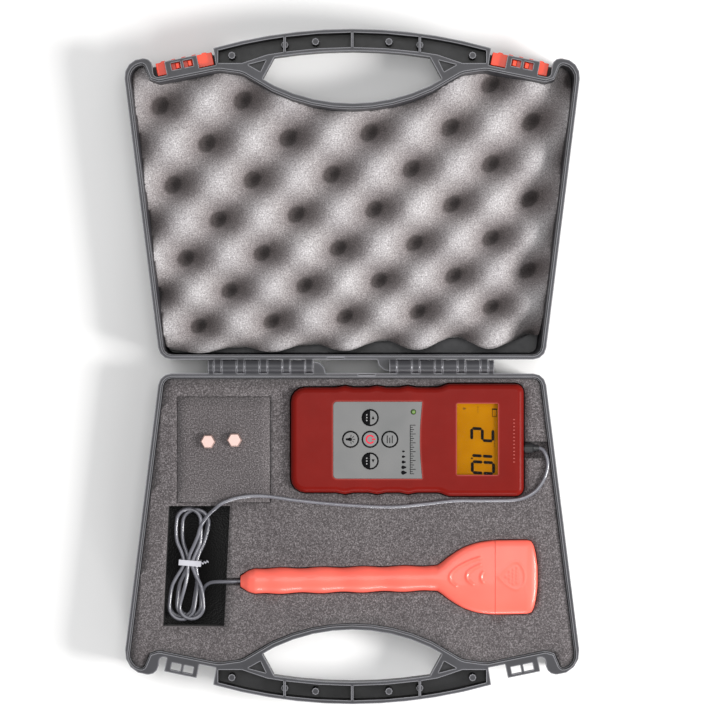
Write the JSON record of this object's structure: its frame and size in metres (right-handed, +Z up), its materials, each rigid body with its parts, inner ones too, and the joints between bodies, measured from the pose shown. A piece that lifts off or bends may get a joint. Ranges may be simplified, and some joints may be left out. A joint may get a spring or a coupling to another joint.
{
  "type": "moisture meter kit in carry case",
  "caption": "Handheld moisture meter with a wired paddle probe and its coiled cable, in the foam of an open hinged carry case.",
  "frame": {"origin": "on the floor under the hinge line, midway between the case's sides, with the lid laid open flat", "axes": "+X to the display end of the meter, +Y from the base's handle to the lid's handle, +Z up out of the open case"},
  "size_m": [0.3096, 0.4592, 0.0411],
  "materials": {
    "case_plastic": "fine grained black injection moulding",
    "grey_foam": "open cell foam, dark grey",
    "light_foam": "open cell foam, light grey",
    "latch_plastic": "orange red, satin",
    "steel": "plain steel",
    "pin_brass": "polished, pinkish",
    "meter_plastic": "dark red, satin",
    "label_film": "grey printed film",
    "key_film": "grey with a black ring",
    "clear_lens": "clear",
    "display_amber": "amber liquid crystal panel",
    "light_guide": "white light guide",
    "circuit_board": "green board",
    "black_plastic": "black",
    "indicator_green": "green lens",
    "battery_wrap": "printed sleeve",
    "probe_plastic": "coral, satin",
    "cable_rubber": "black sheath",
    "tie_nylon": "pale grey"
  },
  "bodies": {
    "case_base": {"base_shell": "case_plastic", "base_foam": "grey_foam", "foam_plug": "grey_foam", "contact_pin_1": "pin_brass", "contact_pin_2": "pin_brass", "hinge_pin_left": "steel", "hinge_pin_right": "steel"},
    "lid": {"lid_shell": "case_plastic", "lid_foam": "light_foam"},
    "latch_left": {"latch_left": "latch_plastic"},
    "latch_right": {"latch_right": "latch_plastic"},
    "instrument": {"meter_front_shell": "meter_plastic", "meter_back_shell": "meter_plastic", "battery_cover": "meter_plastic", "keypad_overlay": "label_film", "lcd_lens": "clear_lens", "lcd_panel": "display_amber", "backlight_panel": "light_guide", "contact_plate_left": "steel", "contact_plate_right": "steel", "probe_socket": "black_plastic", "probe_plug": "black_plastic", "main_board": "circuit_board", "status_led": "indicator_green", "probe_top_shell": "probe_plastic", "probe_bottom_shell": "probe_plastic", "probe_sensor_cap": "probe_plastic", "probe_board": "circuit_board", "probe_sensor_plate": "steel", "probe_cable_bush": "cable_rubber", "cable_run": "cable_rubber", "cable_hank": "cable_rubber", "cable_tail": "cable_rubber", "cable_tie": "tie_nylon", "battery_1": "battery_wrap", "case_screw_1": "steel", "battery_2": "battery_wrap", "case_screw_2": "steel", "battery_3": "battery_wrap", "case_screw_3": "steel", "battery_4": "battery_wrap", "case_screw_4": "steel", "switch_power": "black_plastic", "switch_lamp": "black_plastic", "switch_function": "black_plastic", "switch_up": "black_plastic", "switch_down": "black_plastic"},
    "key_power": {"key_power": "key_film"},
    "key_lamp": {"key_lamp": "key_film"},
    "key_function": {"key_function": "key_film"},
    "key_up": {"key_up": "key_film"},
    "key_down": {"key_down": "key_film"}
  },
  "joints": [
    {"name": "lid_hinge", "type": "hinge", "parent": "case_base", "child": "lid", "pos_m": [0, 0, 0.03625], "axis": [-1, 0, 0], "range_deg": [-180, 0]},
    {"name": "latch_left_slide", "type": "slide", "parent": "lid", "child": "latch_left", "axis": [-0.9796, -0.2011, 0], "range_m": [0, 0.0024]},
    {"name": "latch_right_slide", "type": "slide", "parent": "lid", "child": "latch_right", "axis": [0.9796, -0.2011, 0], "range_m": [0, 0.0024]},
    {"name": "instrument_lift", "type": "slide", "parent": "case_base", "child": "instrument", "axis": [0, 0, 1], "range_m": [0, 0.06]},
    {"name": "power_key_press", "type": "slide", "parent": "instrument", "child": "key_power", "axis": [0, 0, -1], "range_m": [0, 0.0005], "stiffness_N_per_m": 800},
    {"name": "lamp_key_press", "type": "slide", "parent": "instrument", "child": "key_lamp", "axis": [0, 0, -1], "range_m": [0, 0.0005], "stiffness_N_per_m": 800},
    {"name": "function_key_press", "type": "slide", "parent": "instrument", "child": "key_function", "axis": [0, 0, -1], "range_m": [0, 0.0005], "stiffness_N_per_m": 800},
    {"name": "up_key_press", "type": "slide", "parent": "instrument", "child": "key_up", "axis": [0, 0, -1], "range_m": [0, 0.0005], "stiffness_N_per_m": 800},
    {"name": "down_key_press", "type": "slide", "parent": "instrument", "child": "key_down", "axis": [0, 0, -1], "range_m": [0, 0.0005], "stiffness_N_per_m": 800}
  ]
}
